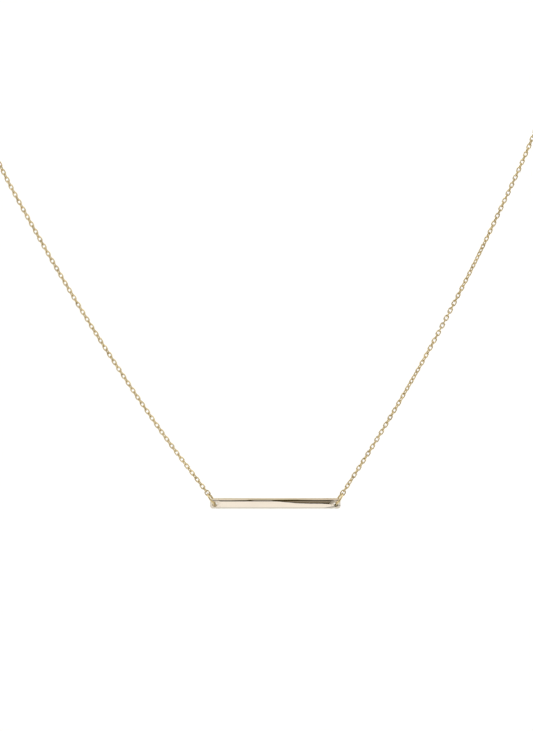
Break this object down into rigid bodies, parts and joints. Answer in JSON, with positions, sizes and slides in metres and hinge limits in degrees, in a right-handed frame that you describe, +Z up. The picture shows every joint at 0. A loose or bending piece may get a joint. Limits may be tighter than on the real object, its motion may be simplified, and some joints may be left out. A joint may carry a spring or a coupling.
{
  "type": "bar pendant necklace",
  "caption": "Fine cable chain necklace in yellow gold with a slim polished bar pendant hung level between two jump rings.",
  "frame": {"origin": "the nape: the middle of the spring ring clasp, where the back of a neck holds the necklace up", "axes": "+X along the bar from its left end to its right end as the wearer's front is seen, -Y to the front, +Z up"},
  "size_m": [0.1365, 0.0881, 0.1099],
  "materials": {
    "gold_bar": "mirror polished yellow gold",
    "gold_wire": "polished yellow gold wire",
    "gold_chain": "polished yellow gold wire"
  },
  "bodies": {
    "necklace": {"jump_ring_left": "gold_wire", "jump_ring_right": "gold_wire", "chain_left_front": "gold_chain", "chain_right_front": "gold_chain", "chain_left_back": "gold_chain", "chain_right_back": "gold_chain", "clasp": "gold_wire", "end_ring": "gold_wire"},
    "bar": {"bar": "gold_bar"}
  },
  "joints": [
    {"name": "bar_swing", "type": "hinge", "parent": "necklace", "child": "bar", "pos_m": [0.002, -0.085, -0.1031], "axis": [1, 0, 0], "range_deg": [-25, 25]}
  ]
}
